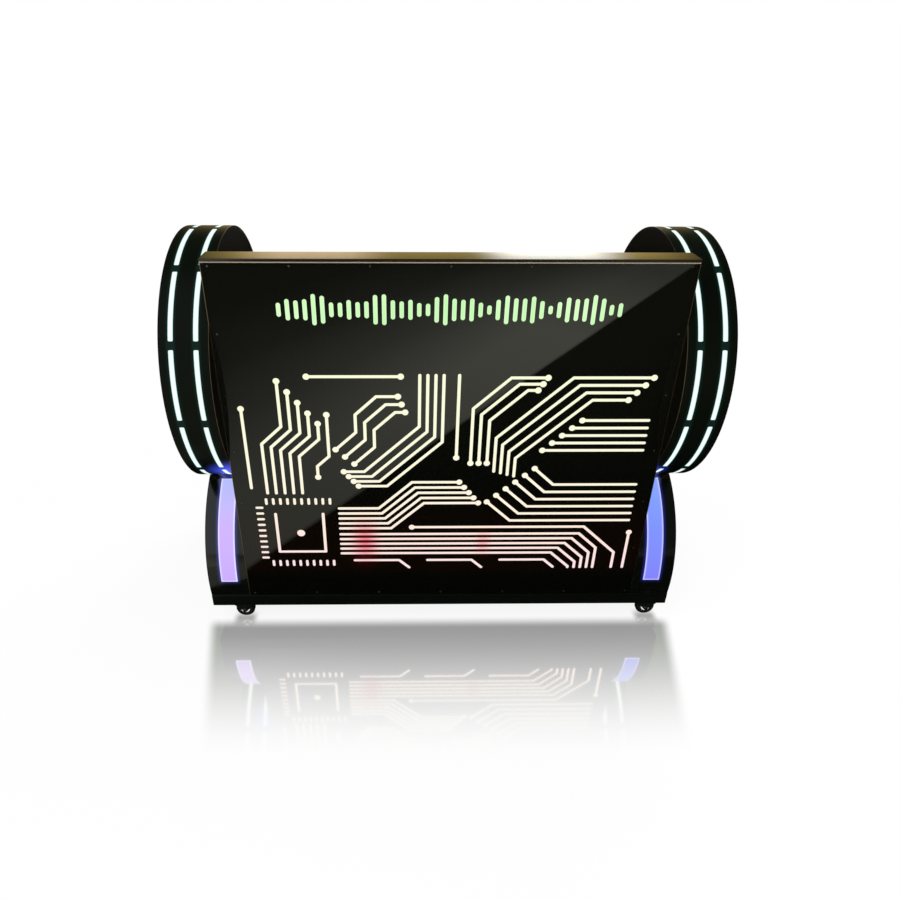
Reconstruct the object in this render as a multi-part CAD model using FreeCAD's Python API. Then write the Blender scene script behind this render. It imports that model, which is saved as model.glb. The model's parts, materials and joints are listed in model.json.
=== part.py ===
import FreeCAD
import Part
import math
import os
from FreeCAD import Placement, Rotation, Vector

# A mobile disc jockey booth: an upright front light box between two side drums.
# Each drum lies in the cradle of a column, and all stand on a base board with four
# locking casters. Millimetres: X to the right, Y to the rear, Z up. The origin is on the
# floor under the drums' common axis, in the middle of the booth.

# Whole booth
body_width = 1238.0
body_side_inset = 6.0
body_rear_setback = 12.0
fit_gap = 0.3
running_gap = 0.05
cut_overrun = 5.0

# Casters
wheel_radius = 31.0
wheel_width = 22.0
wheel_web = 12.0
hub_radius = 12.0
tyre_depth = 9.0
tyre_round = 4.0
axle_radius = 4.0
axle_head_radius = 7.0
axle_head_height = 3.0
wheel_trail = 22.0
wheel_crown_gap = 3.0
wheel_side_gap = 1.5
crown_thickness = 3.0
crown_reach = 20.0
leg_thickness = 3.0
leg_eye_radius = 10.0
race_height = 5.0
race_radius = 19.0
race_gap = 0.4
kingpin_radius = 6.0
kingpin_recess = 0.5
caster_plate_width = 62.0
caster_plate_thickness = 3.0
caster_plate_corner = 6.0
caster_side_inset = 71.0
caster_front_inset = 42.0
caster_rear_inset = 60.0
pedal_pivot_out = 50.0
pedal_pivot_drop = 6.0
pedal_eye_radius = 4.0
pedal_pin_radius = 2.5
pedal_length = 24.0
pedal_thickness = 3.0
pedal_corner = 4.0
pedal_side_gap = 0.4

# Base board
base_thickness = 44.0
base_edge_round = 3.0

# Front light box
panel_drum_setback = 61.0
panel_thickness = 5.0
panel_edge_round = 1.5
batten_depth = 52.0
batten_width = 24.0
back_board_thickness = 6.0
led_bar_count = 8
led_bar_height = 12.0
led_bar_depth = 3.0
led_bar_end_margin = 30.0
panel_screw_columns = 7
panel_screw_rows = 7
panel_screw_side_inset = 18.5
panel_screw_top_inset = 8.0
panel_screw_foot_inset = 11.0
panel_screw_radius = 1.5
panel_screw_gap = 0.2
panel_screw_length = 30.0
panel_screw_head_radius = 3.2
panel_screw_head_height = 1.6
panel_screw_head_round = 1.0

# Lit lines and lit bars of the front panel
inlay_gap = 0.15
inlay_recess = 0.2
trace_width = 8.5
trace_pad_radius = 9.0
trace_left_margin = 48.0
trace_right_margin = 40.0
trace_columns = 58
trace_field_foot = 100.0
trace_field_height = 685.0
trace_rows = 37
chip_left_share = 1.6
chip_foot_share = 2.4
chip_side_share = 10.6
chip_frame_inset_share = 1.7
chip_pin_length_share = 1.2
chip_mark_radius = 12.0
chip_pin_count = 10
chip_pin_width = 8.0
meter_bar_count = 40
meter_bar_width = 11.0
meter_bar_pitch = 22.4
meter_middle_rise = 955.0
meter_least_height = 22.0
meter_most_height = 86.0
meter_wave_turns = 2.5
meter_ripple_turns = 11.0
meter_ripple_share = 0.45

# Top ledge
ledge_rise = 1086.0
ledge_overhang = 9.5
ledge_depth = 73.0
ledge_thickness = 7.0
ledge_corner = 6.0
ledge_edge_round = 2.0
lip_height = 4.4
lip_shadow_gap = 0.6
lip_proud = 3.2
lip_back_clear = 1.4
lip_round = 1.9

# Cheek boards and furniture boards
cheek_thickness = 12.0
cheek_curb = 30.0
cheek_slope_foot_front = 150.0
table_rise = 840.0
table_thickness = 18.0
table_rear_inset = 10.0
shelf_rise = 380.0
shelf_thickness = 18.0
upright_thickness = 18.0
upright_rear_inset = 40.0
apron_height = 60.0
apron_thickness = 18.0
cleat_side = 25.0
cleat_front_gap = 20.0
cleat_rear_inset = 40.0

# Side drums
drum_radius = 379.0
drum_thickness = 131.0
drum_axis_rise = 711.0
drum_wall = 8.0
drum_face_thickness = 6.0
drum_edge_round = 2.0
slot_count = 11
slot_first_angle = 90.0
slot_width = 13.0
slot_gap = 23.0
slot_corner = 3.0
slot_row_inset = 33.0
slot_light_recess = 0.4
diffuser_wall = 4.0
drum_light_gap = 37.4
core_wall = 12.0
led_tape_width = 10.0
led_tape_thickness = 2.0
drum_bolt_inset = 199.0
drum_bolt_angles = (0.0, 180.0, 225.0, 315.0)
drum_bolt_radius = 4.0
drum_bolt_gap = 0.2
drum_bolt_head_radius = 7.0
drum_bolt_head_height = 5.0

# Side columns
column_arc_radius = 330.0
column_drum_bite = 49.0
column_cradle_back = 230.0
column_cradle_gap = 4.0
column_shoulder_rise = 400.0
column_wall = 12.0
column_light_width = 51.0
column_light_inset = 33.0
column_light_rise = 58.0
column_light_neck_angle = 4.0
column_light_flange = 6.0
column_light_flange_depth = 3.0
column_light_proud = 1.0
column_led_bar_width = 20.0
column_led_bar_depth = 10.0
column_led_bar_head_gap = 16.0
column_led_bar_rise = 40.0
column_led_bar_back = 60.0

# Power supply
supply_length = 200.0
supply_depth = 100.0
supply_height = 42.0
supply_wall = 2.0
supply_left = 330.0
supply_rear_inset = 90.0
supply_vent_count = 9
supply_vent_width = 4.0
supply_vent_length = 60.0
supply_vent_pitch = 12.0

# Light controller with its two push buttons
controller_length = 130.0
controller_depth = 75.0
controller_height = 30.0
controller_wall = 3.0
controller_left = 180.0
controller_rear_inset = 35.0
button_radius = 6.0
button_height = 3.0
button_collar_radius = 8.0
button_collar_height = 2.0
button_travel = 1.5
button_spread = 40.0
button_post_radius = 4.0

# Power box with the inlet and its rocker switch
power_box_length = 120.0
power_box_depth = 60.0
power_box_height = 80.0
power_box_wall = 2.0
power_box_left = 380.0
power_box_rear_inset = 18.0
inlet_width = 58.0
inlet_height = 48.0
inlet_depth = 26.0
inlet_flange = 4.0
inlet_flange_depth = 3.0
socket_width = 24.0
socket_height = 16.0
socket_depth = 18.0
socket_centre_drop = 10.0
pin_width = 4.0
pin_thickness = 2.0
pin_length = 11.0
pin_spread = 7.0
pin_offset = 2.0
rocker_length = 20.0
rocker_radius = 8.0
rocker_pivot_depth = 3.0
rocker_centre_rise = 12.0
rocker_pin_radius = 1.5
rocker_pin_length = 2.5
rocker_tilt = 9.0
rocker_flat_depth = 2.6
rocker_end_gap = 0.3

# Levels and planes that follow from the sizes above
half_body = body_width / 2
cheek_inner = half_body - cheek_thickness
half_booth = half_body + drum_thickness
half_base = half_booth - body_side_inset
body_rear = drum_radius - body_rear_setback
panel_front = drum_radius - panel_drum_setback
ledge_front = panel_front + ledge_overhang
caster_height = (2 * wheel_radius + wheel_crown_gap + crown_thickness
                 + race_height + caster_plate_thickness)
base_top = caster_height + base_thickness
drum_axis_height = base_top + drum_axis_rise
ledge_top = base_top + ledge_rise
ledge_underside = ledge_top - ledge_thickness
panel_top = ledge_underside - lip_shadow_gap - lip_height
panel_height = panel_top - base_top
board_height = ledge_underside - base_top
table_top = base_top + table_rise
table_underside = table_top - table_thickness
shelf_top = base_top + shelf_rise
shelf_underside = shelf_top - shelf_thickness
light_box_depth = panel_thickness + batten_depth + back_board_thickness
light_box_rear = light_box_depth - panel_front
face_frame = Placement(Vector(0, -panel_front, base_top), Rotation(Vector(1, 0, 0), 90))


def block(x_low, x_high, y_low, y_high, z_low, z_high):
    return Part.makeBox(x_high - x_low, y_high - y_low, z_high - z_low,
                        Vector(x_low, y_low, z_low))


def rod(radius, start, end):
    along = end - start
    return Part.makeCylinder(radius, along.Length, start, along)


def tube(outer, inner, x_low, x_high, axis_height):
    start = Vector(x_low, 0, axis_height)
    end = Vector(x_high, 0, axis_height)
    spare = Vector(cut_overrun, 0, 0)
    return rod(outer, start, end).cut(rod(inner, start - spare, end + spare))


def profile(edges, x_low, x_high):
    """Extrude a closed outline that is drawn in the YZ plane from x_low to x_high."""
    face = Part.Face(Part.Wire(edges))
    face.translate(Vector(x_low, 0, 0))
    return face.extrude(Vector(x_high - x_low, 0, 0))


def polygon_edges(points):
    corners = [Vector(0, y, z) for y, z in points]
    return Part.makePolygon(corners + corners[:1]).Edges


def rounded_block(x_low, x_high, y_low, y_high, z_low, z_high, radius, direction):
    """A block whose edges along one direction are rounded."""
    body = block(x_low, x_high, y_low, y_high, z_low, z_high)
    edges = [edge for edge in body.Edges
             if abs(edge.tangentAt(edge.FirstParameter).dot(direction)) > 0.5]
    return body.makeFillet(radius, edges)


def whole(shape):
    """The one solid of a shape, or a compound of its separate solids."""
    solids = shape.Solids
    return solids[0] if len(solids) == 1 else Part.makeCompound(solids)


def mirrored(shape):
    return shape.mirror(Vector(0, 0, 0), Vector(1, 0, 0))


def on_face(shape):
    """Move a piece drawn flat (x, up the face, out of the face) onto the front."""
    placed = shape.copy()
    placed.Placement = face_frame.multiply(placed.Placement)
    return placed


parts = {}

# Lit lines: routes drawn on a grid of trace_columns by trace_rows from the field's lower
# left corner. Each bundle holds: the number of lines, the shift from one line to the next,
# how much each next line gains at its start and at its end, pads at start and end, and
# the corners of its first line. All are multiples of the grid's steps.
trace_bundle_shares = (
    (5, (-1.0, -1.0), -1.0, -1.0, (False, False), ((13, 7.8), (50, 7.8), (53, 4.8), (53, 0.6))),
    (5, (0.45, -1.0), 0.45, 0.3, (False, True), ((13, 13), (19, 13), (24, 18), (31, 18))),
    (5, (1.3, -0.55), -0.55, -1.2, (False, True), ((2.5, 16), (2.5, 25), (5.5, 28), (5.5, 35.5))),
    (4, (1.1, -0.9), 0.4, 0.9, (True, False), ((14, 20), (17, 20), (25, 28), (25, 36.4))),
    (4, (1.0, -1.2), -2.0, -0.9, (True, False), ((57, 36), (46, 36), (36, 26), (36, 20))),
    (5, (-1.3, -1.3), 0, 1.3, (True, False), ((48, 29), (57.4, 29))),
    (6, (-1.2, -1.4), 0.2, 1.2, (True, False), ((42, 20.5), (45, 17.5), (57.4, 17.5))),
    (3, (1.3, -1.3), 0, -0.8, (True, True), ((13, 24), (16, 27), (16, 30), (19, 33), (22, 33))),
    (3, (1.2, -1.0), -1.0, -1.8, (True, True), ((32.5, 21.5), (32.5, 31), (37.5, 36), (42.5, 36))),
    (1, (0, 0), 0, 0, (True, False), ((24, 9.2), (50.6, 9.2), (56, 3.8), (56, 0.6))),
    (3, (11.5, 0), 0, 0, (False, False), ((15, 2.3), (22, 2.3), (23.6, 0.7))),
    (1, (0, 0), 0, 0, (True, True), ((10.2, 19), (10.2, 21), (12, 22.8), (12, 30))),
    (1, (0, 0), 0, 0, (True, False), ((30.4, 22.5), (30.4, 36.4))),
    (1, (0, 0), 0, 0, (False, True), ((0.2, 17), (0.2, 31))),
    (1, (0, 0), 0, 0, (True, True), ((9.6, 36.2), (22.4, 36.2))),
    (1, (0, 0), 0, 0, (True, False), ((57.8, 8), (57.8, 0.6))),
)


column_step = (body_width - trace_left_margin - trace_right_margin) / trace_columns
row_step = trace_field_height / trace_rows
trace_field_left = half_body - trace_left_margin


def on_grid(column, row):
    """A place on the face, from its column and row on the lit lines' grid."""
    return column * column_step - trace_field_left, row * row_step + trace_field_foot


def moved_along(start, end, distance):
    """The end of a run, moved on by a distance away from the run's start."""
    run_x = end[0] - start[0]
    run_y = end[1] - start[1]
    length = math.hypot(run_x, run_y)
    return (end[0] + run_x / length * distance, end[1] + run_y / length * distance)


def trace_routes():
    """Each lit line as its corner points on the face and its two pad flags."""
    for lines, shift, start_gain, end_gain, pads, corners in trace_bundle_shares:
        for line in range(lines):
            route = [(x + line * shift[0], y + line * shift[1]) for x, y in corners]
            start = moved_along(route[1], route[0], line * start_gain)
            end = moved_along(route[-2], route[-1], line * end_gain)
            route = [start] + route[1:-1] + [end]
            yield [on_grid(column, row) for column, row in route], pads


def stroke(points, half_width, low, high):
    """A bar with round ends along a route on the face."""
    depth = Vector(0, 0, high - low)
    if len(points) > 2:
        route = Part.makePolygon([Vector(x, y, low) for x, y in points])
        return Part.Face(route.makeOffset2D(half_width)).extrude(depth)
    start, end = [Vector(x, y, low) for x, y in points]
    along = (end - start).normalize() * half_width
    side = Vector(-along.y, along.x, 0)
    outline = [Part.makeLine(start + side, end + side),
               Part.Arc(end + side, end + along, end - side).toShape(),
               Part.makeLine(end - side, start - side),
               Part.Arc(start - side, start - along, start + side).toShape()]
    return Part.Face(Part.Wire(outline)).extrude(depth)


def trace_bars(grow, low, high):
    bars = []
    for points, pads in trace_routes():
        bar = stroke(points, trace_width / 2 + grow, low, high)
        for place, padded in zip((points[0], points[-1]), pads):
            if padded:
                centre = Vector(place[0], place[1], low)
                pad = Part.makeCylinder(trace_pad_radius + grow, high - low, centre)
                bar = bar.fuse(pad).removeSplitter()
        bars.append(whole(bar))
    return bars


def chip_bars(grow, low, high):
    """A square chip: a row of pins on three sides, a lit frame and a round mark."""
    bars = []
    pin_half = chip_pin_width / 2
    left, foot = on_grid(chip_left_share, chip_foot_share)
    right = left + chip_side_share * column_step
    head = foot + right - left
    pin_length = chip_pin_length_share * column_step
    for pin in range(chip_pin_count):
        share = (pin + 0.5) / chip_pin_count
        x = left + (right - left) * share
        y = foot + (head - foot) * share
        for pin_foot in (foot - pin_length, head):
            ends = [(x, pin_foot + pin_half), (x, pin_foot + pin_length - pin_half)]
            bars.append(stroke(ends, pin_half + grow, low, high))
        ends = [(left - pin_length + pin_half, y), (left - pin_half, y)]
        bars.append(stroke(ends, pin_half + grow, low, high))
    inset = chip_frame_inset_share * column_step
    frame_points = [(left + inset, head - inset), (left + inset, foot + inset),
                    (right - inset, foot + inset), (right - inset, head - inset)]
    bars.append(stroke(frame_points, trace_width / 2 + grow, low, high))
    mark = Vector((left + right) / 2, (foot + head) / 2, low)
    bars.append(Part.makeCylinder(chip_mark_radius + grow, high - low, mark))
    return bars


def meter_bars(grow, low, high):
    """A row of level-meter bars: a slow swell of heights with a quick ripple on it."""
    bars = []
    half_width = meter_bar_width / 2
    for index in range(meter_bar_count):
        turn = 2 * math.pi * index / (meter_bar_count - 1)
        swell = 0.5 - 0.5 * math.cos(meter_wave_turns * 2 * turn)
        ripple = 0.5 + 0.5 * math.sin(meter_ripple_turns * turn)
        level = (1 - meter_ripple_share) * swell + meter_ripple_share * ripple
        height = meter_least_height + (meter_most_height - meter_least_height) * level
        x = (index - (meter_bar_count - 1) / 2) * meter_bar_pitch
        reach = height / 2 - half_width
        ends = [(x, meter_middle_rise - reach), (x, meter_middle_rise + reach)]
        bars.append(stroke(ends, half_width + grow, low, high))
    return bars


def screw_places():
    """Screws round the panel's edge: even columns at head and foot, even rows at the sides."""
    reach = half_body - panel_screw_side_inset
    head = panel_height - panel_screw_top_inset
    for column in range(panel_screw_columns):
        x = -reach + 2 * reach * column / (panel_screw_columns - 1)
        yield x, panel_screw_foot_inset
        yield x, head
    for row in range(1, panel_screw_rows - 1):
        rise = panel_screw_foot_inset + (head - panel_screw_foot_inset) * row / (panel_screw_rows - 1)
        yield -reach, rise
        yield reach, rise


def panel_screw(x, rise):
    head = Part.makeCylinder(panel_screw_head_radius, panel_screw_head_height, Vector(x, rise, 0))
    rim = [edge for edge in head.Edges
           if edge.BoundBox.ZMin > panel_screw_head_height / 2]
    head = head.makeFillet(panel_screw_head_round, rim)
    shank = rod(panel_screw_radius, Vector(x, rise, -panel_screw_length), Vector(x, rise, 0))
    return head.fuse(shank)


# Front light box: panel, lit inlays, screws, battens, back board and light bars
through = -panel_thickness - cut_overrun
panel = block(-half_body, half_body, 0, panel_height, -panel_thickness, 0)
front_sides = [edge for edge in panel.Edges
               if edge.BoundBox.ZMin > -panel_edge_round and edge.BoundBox.YLength > panel_height / 2]
panel = panel.makeFillet(panel_edge_round, front_sides)
holes = (trace_bars(inlay_gap, through, cut_overrun) + chip_bars(inlay_gap, through, cut_overrun)
         + meter_bars(inlay_gap, through, cut_overrun))
screw_holes = [rod(panel_screw_radius + panel_screw_gap, Vector(x, rise, -panel_screw_length - cut_overrun),
                   Vector(x, rise, cut_overrun)) for x, rise in screw_places()]
parts["front_panel"] = on_face(whole(panel.cut(holes).cut(screw_holes)))
line_lights = (trace_bars(0, -panel_thickness, -inlay_recess)
               + chip_bars(0, -panel_thickness, -inlay_recess))
parts["line_lights"] = on_face(Part.makeCompound(line_lights))
parts["meter_lights"] = on_face(Part.makeCompound(meter_bars(0, -panel_thickness, -inlay_recess)))
parts["panel_screws"] = on_face(Part.makeCompound([panel_screw(x, rise) for x, rise in screw_places()]))

batten_back = -panel_thickness - batten_depth
stile_inner = cheek_inner - batten_width
battens = [block(-cheek_inner, -stile_inner, 0, board_height, batten_back, -panel_thickness),
           block(stile_inner, cheek_inner, 0, board_height, batten_back, -panel_thickness),
           block(-stile_inner, stile_inner, 0, batten_width, batten_back, -panel_thickness),
           block(-stile_inner, stile_inner, board_height - batten_width, board_height,
                 batten_back, -panel_thickness)]
battens = [whole(batten.cut(screw_holes)) for batten in battens]
parts["light_box_battens"] = on_face(Part.makeCompound(battens))
parts["light_box_back"] = on_face(block(-cheek_inner, cheek_inner, 0, board_height,
                                        -light_box_depth, batten_back))
led_bars = []
led_bar_reach = stile_inner - led_bar_end_margin
for index in range(led_bar_count):
    rise = panel_height * (index + 0.5) / led_bar_count
    led_bars.append(block(-led_bar_reach, led_bar_reach, rise - led_bar_height / 2,
                          rise + led_bar_height / 2, batten_back, batten_back + led_bar_depth))
parts["light_box_led_bars"] = on_face(Part.makeCompound(led_bars))

# Top ledge: a thin gloss cap, with a rounded lip on the panel's top edge below it
ledge = rounded_block(-half_body, half_body, -ledge_front, ledge_depth - ledge_front,
                      ledge_underside, ledge_top, ledge_corner, Vector(0, 0, 1))
crown_edges = [edge for edge in ledge.Edges if edge.BoundBox.ZMin > ledge_top - ledge_edge_round]
parts["top_ledge"] = ledge.makeFillet(ledge_edge_round, crown_edges)
lip_back = panel_thickness - lip_back_clear - panel_front
lip = rounded_block(-half_body, half_body, -panel_front - lip_proud, lip_back, panel_top,
                    panel_top + lip_height, lip_proud, Vector(0, 0, 1))
lip_edges = [edge for edge in lip.Edges
             if edge.BoundBox.YMax < lip_back - lip_round
             and edge.BoundBox.ZMax - edge.BoundBox.ZMin < lip_round]
parts["ledge_lip"] = lip.makeFillet(lip_round, lip_edges)

# Base board
parts["base_board"] = rounded_block(-half_base, half_base, -panel_front, body_rear,
                                    caster_height, base_top, base_edge_round, Vector(0, 0, 1))

# Cheek boards: front edge behind the panel, high at the light box, a low curb at the table
cheek_outline = [(panel_thickness - panel_front, base_top),
                 (panel_thickness - panel_front, ledge_underside),
                 (ledge_depth - ledge_front, ledge_underside),
                 (-cheek_slope_foot_front, table_top + cheek_curb),
                 (body_rear, table_top + cheek_curb),
                 (body_rear, base_top)]
drum_bolt_circle = drum_radius - drum_bolt_inset
drum_bolt_places = [Vector(0, drum_bolt_circle * math.cos(math.radians(angle)),
                           drum_axis_height + drum_bolt_circle * math.sin(math.radians(angle)))
                    for angle in drum_bolt_angles]
cheek = profile(polygon_edges(cheek_outline), cheek_inner, half_body)
bolt_holes = []
drum_bolts = []
for place in drum_bolt_places:
    inner = place + Vector(cheek_inner, 0, 0)
    outer = place + Vector(half_body + drum_face_thickness, 0, 0)
    head = Vector(drum_bolt_head_height, 0, 0)
    spare = Vector(cut_overrun, 0, 0)
    bolt_holes.append(rod(drum_bolt_radius + drum_bolt_gap, inner - spare, outer + spare))
    shank = rod(drum_bolt_radius, inner, outer)
    caps = [rod(drum_bolt_head_radius, inner - head, inner), rod(drum_bolt_head_radius, outer, outer + head)]
    drum_bolts.append(shank.fuse(caps).removeSplitter())
parts["right_cheek"] = whole(cheek.cut(bolt_holes))
parts["left_cheek"] = mirrored(parts["right_cheek"])
parts["drum_bolts"] = Part.makeCompound(drum_bolts + [mirrored(bolt) for bolt in drum_bolts])

# Furniture boards behind the light box
table_rear = body_rear - table_rear_inset
parts["work_table"] = block(-cheek_inner, cheek_inner, light_box_rear, table_rear,
                            table_underside, table_top)
parts["lower_shelf"] = block(-cheek_inner, cheek_inner, light_box_rear, table_rear,
                             shelf_underside, shelf_top)
parts["centre_upright"] = block(-upright_thickness / 2, upright_thickness / 2, light_box_rear,
                                body_rear - upright_rear_inset, base_top, shelf_underside)
parts["table_apron"] = block(-cheek_inner, cheek_inner, table_rear - apron_thickness, table_rear,
                             table_underside - apron_height, table_underside)
cleats = []
for underside in (table_underside, shelf_underside):
    cleat = block(cheek_inner - cleat_side, cheek_inner, light_box_rear + cleat_front_gap,
                  body_rear - cleat_rear_inset, underside - cleat_side, underside)
    cleats.extend((cleat, mirrored(cleat)))
parts["board_cleats"] = Part.makeCompound(cleats)

# Side drums: slotted rim, diffuser with raised lights, faces, core ring and light tapes
face_radius = drum_radius - drum_wall - fit_gap
gap_half_angle = math.degrees(slot_gap / 2 / drum_radius)
drum_centre = Vector(0, 0, drum_axis_height)
drum_axis = Vector(1, 0, 0)
slot_row_places = (half_body + slot_row_inset, half_booth - slot_row_inset)


def slot_bar(x_middle, start_angle, end_angle, half_width, corner, r_low, r_high):
    """A curved bar with rounded corners on the rim, between two angles above the front."""
    corners = [Vector(x_middle + side * half_width, -r, drum_axis_height)
               for side, r in ((-1, r_low), (1, r_low), (1, r_high), (-1, r_high))]
    face = Part.Face(Part.makePolygon(corners + corners[:1]))
    bar = face.revolve(drum_centre, drum_axis, start_angle - end_angle)
    radial_edges = [edge for edge in bar.Edges if edge.Curve.TypeId == "Part::GeomLine"
                    and edge.BoundBox.XMax - edge.BoundBox.XMin < half_width]
    bar = bar.makeFillet(corner, radial_edges)
    bar.rotate(drum_centre, drum_axis, -start_angle)
    return bar


def slot_bars(grow, r_low, r_high):
    bars = []
    pitch = 360.0 / slot_count
    trim_angle = gap_half_angle - math.degrees(grow / drum_radius)
    for x_middle in slot_row_places:
        for slot in range(slot_count):
            start = slot_first_angle + slot * pitch + trim_angle
            end = slot_first_angle + (slot + 1) * pitch - trim_angle
            bars.append(slot_bar(x_middle, start, end, slot_width / 2 + grow, slot_corner + grow,
                                 r_low, r_high))
    return bars


rim_inner = drum_radius - drum_wall
rim = tube(drum_radius, rim_inner, half_body, half_booth, drum_axis_height)
outer_circles = [edge for edge in rim.Edges
                 if edge.Curve.TypeId == "Part::GeomCircle"
                 and edge.Curve.Radius > face_radius + drum_wall / 2]
rim = rim.makeFillet(drum_edge_round, outer_circles)
slots = slot_bars(fit_gap, rim_inner - cut_overrun, drum_radius + cut_overrun)
parts["right_drum_rim"] = whole(rim.cut(slots))
diffuser_low = half_body + drum_face_thickness
diffuser_high = half_booth - drum_face_thickness
diffuser_inner = face_radius - diffuser_wall
diffuser = tube(face_radius, diffuser_inner, diffuser_low, diffuser_high, drum_axis_height)
light_radius = drum_radius - slot_light_recess
light_shell = tube(light_radius, diffuser_inner + diffuser_wall / 2, diffuser_low, diffuser_high,
                   drum_axis_height)
lights = [bar.common(light_shell) for bar in slot_bars(0, diffuser_inner, drum_radius + cut_overrun)]
parts["right_drum_diffuser"] = whole(diffuser.fuse(lights).removeSplitter())
inner_face = rod(face_radius, drum_centre + drum_axis * half_body, drum_centre + drum_axis * diffuser_low)
parts["right_drum_inner_face"] = whole(inner_face.cut(bolt_holes))
parts["right_drum_outer_face"] = rod(face_radius, drum_centre + drum_axis * diffuser_high,
                                     drum_centre + drum_axis * half_booth)
tape_outer = diffuser_inner - drum_light_gap
tape_inner = tape_outer - led_tape_thickness
core_radius = tape_inner - fit_gap
parts["right_drum_core"] = tube(core_radius, core_radius - core_wall, diffuser_low, diffuser_high,
                                drum_axis_height)
tapes = [tube(tape_outer, tape_inner, x - led_tape_width / 2, x + led_tape_width / 2, drum_axis_height)
         for x in slot_row_places]
parts["right_drum_led_tapes"] = Part.makeCompound(tapes)
for piece in ("rim", "diffuser", "inner_face", "outer_face", "core", "led_tapes"):
    parts["left_drum_" + piece] = mirrored(parts["right_drum_" + piece])

# Side columns: a hollow shell with a bowed front, a cradle for the drum and a lit strip.
# The bow is as far forward as the panel. It ends where it meets the cradle, at the neck.
cradle_radius = drum_radius + column_cradle_gap
column_depth = drum_thickness - body_side_inset
arc_back = column_arc_radius - panel_front
arc_drop = drum_radius + column_arc_radius - column_drum_bite
arc_height = drum_axis_height - arc_drop
arc_centre = Vector(0, arc_back, arc_height)
centre_distance = math.hypot(arc_back, arc_drop)
neck_reach = (cradle_radius ** 2 - column_arc_radius ** 2 + centre_distance ** 2) / (2 * centre_distance)
neck_angle = math.acos(neck_reach / cradle_radius) - math.atan2(arc_back, arc_drop)
neck_back = -cradle_radius * math.sin(neck_angle)


def bow_point(height):
    """A point of the bowed front, from its height above the floor."""
    across = math.sqrt(column_arc_radius ** 2 - (height - arc_height) ** 2)
    return Vector(0, arc_back - across, height)


def cradle_point(back):
    return Vector(0, back, drum_axis_height - math.sqrt(cradle_radius ** 2 - back ** 2))


neck = cradle_point(neck_back)
foot_front = bow_point(base_top)
bow_middle = bow_point((base_top + neck.z) / 2)
cradle_middle = cradle_point((neck_back + column_cradle_back) / 2)
cradle_rear = cradle_point(column_cradle_back)
shoulder = Vector(0, body_rear, base_top + column_shoulder_rise)
foot_rear = Vector(0, body_rear, base_top)
column_edges = [Part.Arc(foot_front, bow_middle, neck).toShape(),
                Part.Arc(neck, cradle_middle, cradle_rear).toShape(),
                Part.makeLine(cradle_rear, shoulder),
                Part.makeLine(shoulder, foot_rear),
                Part.makeLine(foot_rear, foot_front)]
column_face = Part.Face(Part.Wire(column_edges))
hollow_face = column_face.makeOffset2D(-column_wall)
column_solid = column_face.extrude(Vector(column_depth, 0, 0))
hollow = hollow_face.extrude(Vector(column_depth - column_wall + cut_overrun, 0, 0))
hollow.translate(Vector(-cut_overrun, 0, 0))
column_shell = column_solid.cut(hollow)
column_shell.translate(Vector(half_body, 0, 0))
column_light_middle = half_body + column_light_inset + column_light_width / 2
light_foot_share = (base_top + column_light_rise - arc_height) / column_arc_radius
light_low_angle = math.degrees(math.asin(light_foot_share))
neck_share = (neck.z - arc_height) / column_arc_radius
light_high_angle = math.degrees(math.asin(neck_share)) - column_light_neck_angle


def column_window(half_width, margin, r_low, r_high):
    """A curved plate on the column's bowed front, about the bow's own centre."""
    spare = math.degrees(margin / column_arc_radius)
    low = light_low_angle - spare
    sweep = light_high_angle + spare - low
    corners = [Vector(column_light_middle + side * half_width, arc_back - r, arc_height)
               for side, r in ((-1, r_low), (1, r_low), (1, r_high), (-1, r_high))]
    face = Part.Face(Part.makePolygon(corners + corners[:1]))
    plate = face.revolve(arc_centre, drum_axis, -sweep)
    plate.rotate(arc_centre, drum_axis, -low)
    return plate


skin_inner = column_arc_radius - column_wall
light_half = column_light_width / 2
window = column_window(light_half + fit_gap, fit_gap, skin_inner - cut_overrun,
                       column_arc_radius + cut_overrun)
parts["right_column_shell"] = whole(column_shell.cut(window))
flange_outer = skin_inner - fit_gap
flange = column_window(light_half + column_light_flange, column_light_flange,
                       flange_outer - column_light_flange_depth, flange_outer)
lens = column_window(light_half, 0, flange_outer - column_light_flange_depth / 2,
                     column_arc_radius + column_light_proud)
parts["right_column_light"] = whole(flange.fuse(lens).removeSplitter())
column_bar_outer = half_base - column_wall
column_bar_low = base_top + column_led_bar_rise
column_bar_high = drum_axis_height - cradle_radius - column_wall - column_led_bar_head_gap
column_bar = block(column_bar_outer - column_led_bar_depth, column_bar_outer, column_led_bar_back,
                   column_led_bar_back + column_led_bar_width, column_bar_low, column_bar_high)
parts["column_led_bars"] = Part.makeCompound([column_bar, mirrored(column_bar)])
for piece in ("shell", "light"):
    parts["left_column_" + piece] = mirrored(parts["right_column_" + piece])

# Power supply: a folded case on the base board with a row of vents in its lid
supply_right = supply_length - supply_left
supply_rear = body_rear - supply_rear_inset
supply_back = supply_rear - supply_depth
supply_top = base_top + supply_height
supply = block(-supply_left, supply_right, supply_back, supply_rear, base_top, supply_top)
supply_hollow = block(supply_wall - supply_left, supply_right - supply_wall, supply_back + supply_wall,
                      supply_rear - supply_wall, base_top + supply_wall, supply_top - supply_wall)
vents = []
supply_middle = supply_back + supply_depth / 2
for index in range(supply_vent_count):
    x = (index - (supply_vent_count - 1) / 2) * supply_vent_pitch + supply_length / 2 - supply_left
    vent_ends = [(x, supply_middle - supply_vent_length / 2), (x, supply_middle + supply_vent_length / 2)]
    vents.append(stroke(vent_ends, supply_vent_width / 2, supply_top - supply_wall - cut_overrun,
                        supply_top + cut_overrun))
parts["power_supply"] = whole(supply.cut(supply_hollow).cut(vents))

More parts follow.
